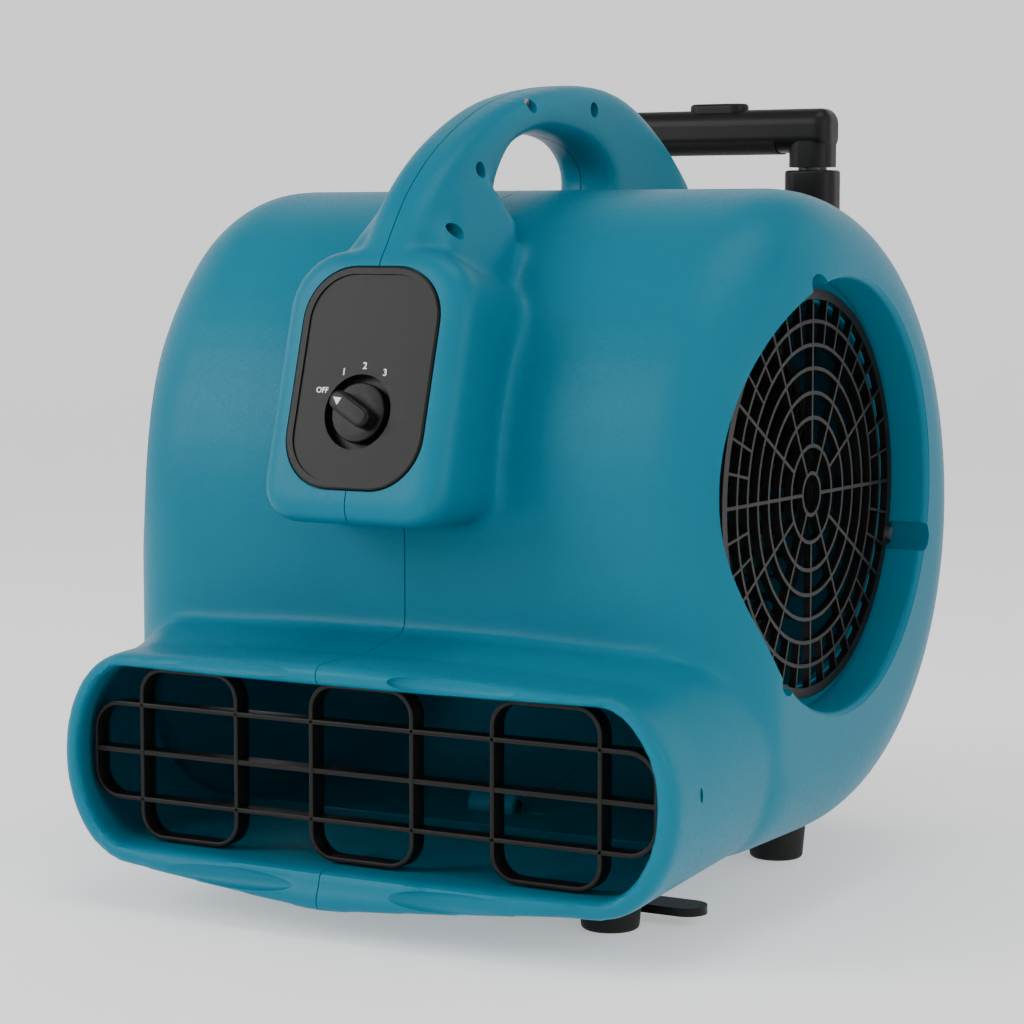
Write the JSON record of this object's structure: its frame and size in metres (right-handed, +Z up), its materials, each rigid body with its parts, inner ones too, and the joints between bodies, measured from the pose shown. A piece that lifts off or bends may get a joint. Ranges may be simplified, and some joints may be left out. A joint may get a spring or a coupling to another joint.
{
  "type": "air mover",
  "caption": "Carpet-dryer air mover: moulded scroll housing with wide flat outlet, round side inlets, dial switch pod, carrying arch, pull-out handle and rear wheels.",
  "frame": {"origin": "on the floor under the middle of the machine's whole box", "axes": "+Z up, outlet towards -Y, +X to the right as seen from the outlet"},
  "size_m": [0.436, 0.529, 0.4901],
  "materials": {
    "teal_shell": "teal moulded plastic, fine grain, satin",
    "black_plastic": "black moulded plastic",
    "blower_plastic": "dark moulded plastic",
    "white_mark": "white print",
    "rubber": "black rubber",
    "tyre": "grey-black soft tyre",
    "handle_metal": "black coated steel tube",
    "zinc_steel": "zinc-plated steel",
    "motor_paint": "dark painted steel",
    "core_steel": "stacked core plates",
    "copper": "enamelled copper wire",
    "capacitor_case": "grey plastic case"
  },
  "bodies": {
    "base": {"axle_caps": "black_plastic", "bracket_bolts": "zinc_steel", "bracket_lower": "black_plastic", "bracket_screws": "zinc_steel", "bracket_upper": "black_plastic", "capacitor_strap": "black_plastic", "control_panel": "black_plastic", "cord_gland": "black_plastic", "foot_front_left": "rubber", "foot_front_right": "rubber", "foot_rear_left": "rubber", "foot_rear_right": "rubber", "foot_screws": "zinc_steel", "gland_nut": "black_plastic", "grille_screws": "zinc_steel", "handle_collar_left": "black_plastic", "handle_collar_right": "black_plastic", "handle_tube_left": "handle_metal", "handle_tube_right": "handle_metal", "housing_left": "teal_shell", "housing_right": "teal_shell", "housing_screws": "zinc_steel", "inlet_grille_left": "black_plastic", "inlet_grille_right": "black_plastic", "motor_bearings": "zinc_steel", "motor_bolts": "zinc_steel", "motor_bracket": "zinc_steel", "motor_cap_left": "motor_paint", "motor_cap_right": "motor_paint", "motor_shell": "motor_paint", "outlet_guard": "black_plastic", "run_capacitor": "capacitor_case", "speed_switch": "black_plastic", "stand_clips": "black_plastic", "stand_pins": "zinc_steel", "stator_core": "core_steel", "stator_windings": "copper", "switch_nut": "zinc_steel", "wheel_axle": "zinc_steel"},
    "knob": {"speed_knob": "black_plastic", "knob_pointer": "white_mark", "switch_shaft": "zinc_steel"},
    "blower": {"blower_wheel": "blower_plastic", "wheel_hub": "zinc_steel", "hub_set_screw": "zinc_steel", "motor_shaft": "zinc_steel", "rotor_core": "core_steel"},
    "stand": {"kickstand": "black_plastic"},
    "pull_handle": {"handle_rod_left": "handle_metal", "handle_rod_right": "handle_metal", "grip_upper": "black_plastic", "grip_pad": "rubber"},
    "button": {"release_button": "black_plastic"},
    "latch_left": {"latch_pin_left": "zinc_steel"},
    "latch_right": {"latch_pin_right": "zinc_steel"},
    "wheel_left": {"wheel_hub_left": "black_plastic", "wheel_tyre_left": "tyre"},
    "wheel_right": {"wheel_hub_right": "black_plastic", "wheel_tyre_right": "tyre"}
  },
  "joints": [
    {"name": "knob_turn", "type": "hinge", "parent": "base", "child": "knob", "pos_m": [0, -0.21708, 0.29603], "axis": [0, 0.9622, -0.2723], "range_deg": [0, 90]},
    {"name": "blower_spin", "type": "hinge", "parent": "base", "child": "blower", "pos_m": [0, -0.027, 0.2435], "axis": [1, 0, 0], "continuous": true},
    {"name": "stand_swing", "type": "hinge", "parent": "base", "child": "stand", "pos_m": [0, -0.03, 0.02], "axis": [1, 0, 0], "range_deg": [0, 75]},
    {"name": "handle_slide", "type": "slide", "parent": "base", "child": "pull_handle", "axis": [0, 0, 1], "range_m": [0, 0.3]},
    {"name": "button_press", "type": "slide", "parent": "pull_handle", "child": "button", "axis": [0, 0, -1], "range_m": [0, 0.004], "stiffness_N_per_m": 800},
    {"name": "latch_left_slide", "type": "slide", "parent": "pull_handle", "child": "latch_left", "axis": [1, 0, 0], "range_m": [0, 0.002]},
    {"name": "latch_right_slide", "type": "slide", "parent": "pull_handle", "child": "latch_right", "axis": [-1, 0, 0], "range_m": [0, 0.002]},
    {"name": "wheel_left_spin", "type": "hinge", "parent": "base", "child": "wheel_left", "pos_m": [-0.078, 0.194, 0.046], "axis": [1, 0, 0], "continuous": true},
    {"name": "wheel_right_spin", "type": "hinge", "parent": "base", "child": "wheel_right", "pos_m": [0.078, 0.194, 0.046], "axis": [1, 0, 0], "continuous": true}
  ],
  "couplings": [
    {"joint": "latch_left_slide", "follows": "button_press", "ratio": 0.5},
    {"joint": "latch_right_slide", "follows": "button_press", "ratio": 0.5}
  ]
}
